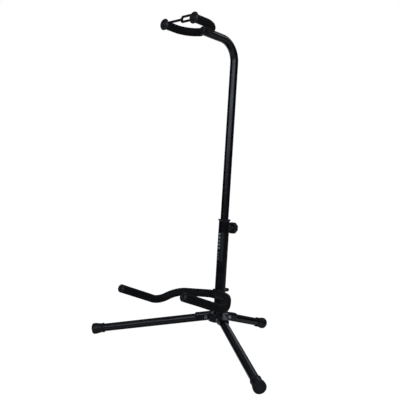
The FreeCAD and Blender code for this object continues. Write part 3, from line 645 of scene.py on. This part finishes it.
def softened(outline, radius):
    """Rounds the corners of a flat closed outline with short curves; slight turns stay as they are."""
    points = []
    count = len(outline)
    for i in range(count):
        before, corner, after = outline[i - 1], outline[i], outline[(i + 1) % count]
        into, away = corner - before, after - corner
        if into.length < 1e-6 or away.length < 1e-6:
            continue
        turn = into.angle(away)
        if turn < slight_turn:
            points.append(corner)
            continue
        wanted = radius * math.tan(turn / 2) if turn < sharp_turn else radius
        reach = min(wanted, into.length / 2.1, away.length / 2.1)
        first, last = corner - into.normalized() * reach, corner + away.normalized() * reach
        for step in range(5):
            t = step / 4
            points.append(first * (1 - t) ** 2 + corner * 2 * t * (1 - t) + last * t ** 2)
    return points


def make_strap(finishes):
    """Flat moulded rubber strap: a ring on the left neck, a band, and a long loop over the right neck."""
    span = 2 * yoke_r
    high, low = strap_rise + strap_band_half, strap_rise - strap_band_half
    high_bar = strap_rise + strap_fork_half + strap_bar
    low_bar = strap_rise - strap_fork_half - strap_bar
    leave_high = math.degrees(math.asin(high / strap_ring_r))
    leave_low = math.degrees(math.asin(low / strap_ring_r))
    outline = arc_points(0, strap_ring_r, leave_high, 360 + leave_low, 40)
    low_corners = [(strap_fork, low), (strap_loop_start, low_bar), (strap_loop_end, low_bar)]
    high_corners = [(strap_loop_end, high_bar), (strap_loop_start, high_bar), (strap_fork, high)]
    outline += [Vector((x, y, 0)) for x, y in low_corners]
    outline += arc_points(span, strap_ring_r, -ring_reach_deg, ring_reach_deg, 24)
    outline += [Vector((x, y, 0)) for x, y in high_corners]
    window_start = strap_loop_start + strap_bar / 2
    window_low, window_high = low_bar + strap_bar, high_bar - strap_bar
    window = [Vector((window_start, window_low, 0)), Vector((strap_loop_end, window_low, 0))]
    window += arc_points(span, strap_hole_r, -hole_reach_deg, hole_end_deg, 20)
    window += [Vector((strap_loop_end, window_high, 0)), Vector((window_start, window_high, 0))]
    curve = bpy.data.curves.new("strap_outline", "CURVE")
    curve.dimensions = "2D"
    curve.fill_mode = "BOTH"
    left_hole = arc_points(0, strap_hole_r, 0, 350, 35)
    for loop in (softened(outline, strap_corner_r), left_hole, softened(window, window_corner_r)):
        spline = curve.splines.new("POLY")
        spline.points.add(len(loop) - 1)
        for point, place in zip(spline.points, loop):
            point.co = (*place, 1.0)
        spline.use_cyclic_u = True
    curve.extrude = strap_thickness / 2 - strap_edge
    curve.bevel_depth = strap_edge
    curve.bevel_resolution = 3
    curve.offset = -strap_edge
    shaper = bpy.data.objects.new("strap_shaper", curve)
    bpy.context.scene.collection.objects.link(shaper)
    flat = bpy.data.meshes.new_from_object(shaper.evaluated_get(bpy.context.evaluated_depsgraph_get()))
    bpy.data.objects.remove(shaper)
    middle = yoke_neck_start + strap_setback + strap_thickness / 2
    points = [on_neck(v.co.x - yoke_r, middle + v.co.z, v.co.y) for v in flat.vertices]
    faces = [tuple(reversed(p.vertices)) for p in flat.polygons]
    piece = new_piece("rubber_strap", points, faces, "strap", "strap_rubber", finishes)
    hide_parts("security_strap")


# ---------------------------------------------------------------- height clamp
def round_piece(name, profile, around, radius_at, body, slot, finishes, height=clamp_height):
    """A closed piece turned about the clamp's axis; radius_at(back, radius, angle) shapes it."""
    points = []
    for back, radius in profile:
        for k in range(around):
            angle = 2 * math.pi * k / around
            r = radius_at(back, radius, angle)
            points.append(on_post(r * math.cos(angle), -back, height + r * math.sin(angle)))
    faces = lattice_faces(len(profile), around)
    faces.append(tuple(range(around)))
    faces.append(tuple(reversed(range((len(profile) - 1) * around, len(profile) * around))))
    return new_piece(name, points, faces, body, slot, finishes)


def make_cradle_nut(finishes):
    """Cap nut behind the post: a hexagon with chamfered corners and a smooth dome."""
    start, hex_end, end = 21.0, 25.4, 30.0
    corner_r, dome_r = 4.9, 4.15
    profile = [(start, cradle_bolt_bore), (start, corner_r - 0.9), (start + 0.5, corner_r),
               (hex_end - 0.5, corner_r), (hex_end, corner_r - 0.8), (hex_end + 0.1, dome_r)]
    dome_rise = dome_r * 0.8
    steps = 9
    for i in range(steps + 1):
        turn = math.radians(88 * i / steps)
        profile.append((end - dome_rise + dome_rise * math.sin(turn), dome_r * math.cos(turn)))

    def hexagonal(back, radius, angle):
        from_flat = (angle % math.radians(60)) - math.radians(30)
        flat = corner_r * math.cos(math.radians(30)) / math.cos(from_flat)
        return min(radius, flat) if start < back < hex_end + 0.05 else radius

    piece = round_piece("cradle_cap_nut", profile, 72, hexagonal, "base", "black_steel", finishes,
                        cradle_bolt_height)
    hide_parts("cradle_nut")


def make_clamp_screw(finishes):
    """Bright screw with a real thread of 1 mm pitch, up to the knob."""
    pitch, depth, steps = 1.0, 0.35, 8
    thread_end = knob_face - 1.0
    rows = round((thread_end - clamp_screw_start) / pitch * steps)
    profile = [(clamp_screw_start + pitch * i / steps, clamp_screw_r) for i in range(rows + 1)]
    profile += [(thread_end + 0.5, clamp_screw_r - depth / 2), (clamp_screw_end, clamp_screw_r - depth / 2)]

    def thread(back, radius, angle):
        if back > thread_end:
            return radius
        turn = (back / pitch - angle / (2 * math.pi)) % 1.0
        ridge = 1 - abs(2 * turn - 1)
        taper = min(1.0, (back - clamp_screw_start) / 0.8)
        return radius - depth * (1 - ridge) - 0.5 * (1 - taper)

    piece = round_piece("clamp_screw_threaded", profile, 36, thread, "clamp", "bright_steel", finishes)
    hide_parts("clamp_screw")


def make_clamp_knob(finishes):
    """Soft-lobed knob with a boss and a shallow recess towards the post, and a domed outer face."""
    end = knob_face + knob_length
    bore = clamp_screw_r + 0.06
    rim = knob_r
    profile = [
        (end - 3.0, bore), (knob_face - 1.2, bore), (knob_face - 1.5, bore + 0.3), (knob_face - 1.5, 5.0),
        (knob_face - 1.3, 5.5), (knob_face + 0.5, 6.0), (knob_face + 0.8, 6.5), (knob_face + 0.8, 10.6),
        (knob_face + 0.5, 11.2), (knob_face + 0.05, 11.7), (knob_face, 12.4), (knob_face + 0.25, rim - 1.0),
        (knob_face + 0.9, rim - 0.3), (knob_face + 1.8, rim), (knob_face + 4.0, rim), (end - 4.0, rim),
        (end - 2.4, rim - 0.1), (end - 1.3, rim - 0.7), (end - 0.6, rim - 1.9), (end - 0.2, rim - 3.6),
        (end, rim - 5.6), (end - 0.1, 6.0), (end - 0.3, 3.0), (end - 0.35, 0.6),
    ]

    def lobed(back, radius, angle):
        weight = min(1.0, max(0.0, (radius - 11.0) / 2.5))
        dip = (0.5 - 0.5 * math.cos(knob_lobes * angle)) ** 1.4
        return radius - 0.7 * weight * (1 - dip)

    piece = round_piece("clamp_knob_lobed", profile, 128, lobed, "clamp", "black_plastic", finishes)
    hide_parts("clamp_knob")


def make_clamp_weld(finishes):
    """Rippled weld bead where the threaded boss meets the lower tube."""
    around, section = 96, 10
    points = []
    for i in range(around):
        angle = 2 * math.pi * i / around
        x, z = clamp_nut_r * math.cos(angle), clamp_nut_r * math.sin(angle)
        back = math.sqrt(lower_tube_r ** 2 - x ** 2)
        ripple = 0.75 + 0.12 * math.sin(22 * angle) + 0.1 * noise.noise(Vector((3 * x, 3 * z, 1.0)))
        for k in range(section):
            turn = 2 * math.pi * k / section
            reach = ripple * math.cos(turn)
            points.append(on_post((clamp_nut_r + reach) * math.cos(angle), -(back + ripple * math.sin(turn)),
                                  clamp_height + (clamp_nut_r + reach) * math.sin(angle)))
    new_piece("clamp_weld", points, lattice_faces(around, section, True), "base", "black_paint", finishes)


# ---------------------------------------------------------------- build
bpy.context.scene.view_settings.view_transform = "Standard"
make_camera()
make_world()
make_floor()
softbox("key_light", 36, 20.5, 2.1, (4.0, 0.6), 2.3)
softbox("high_light", 28, 48, 2.1, (2.6, 1.3), 0.65)
softbox("back_left_light", -148, 21, 2.0, (0.8, 1.7), 0.45)
softbox("back_right_light", 148, 34, 2.0, (0.4, 0.4), 3.0)
slot_finishes = dress_cad_nodes()
make_cradle_foam(slot_finishes)
make_yoke_foam(slot_finishes)
make_strap(slot_finishes)
make_cradle_nut(slot_finishes)
make_clamp_screw(slot_finishes)
make_clamp_knob(slot_finishes)
make_clamp_weld(slot_finishes)
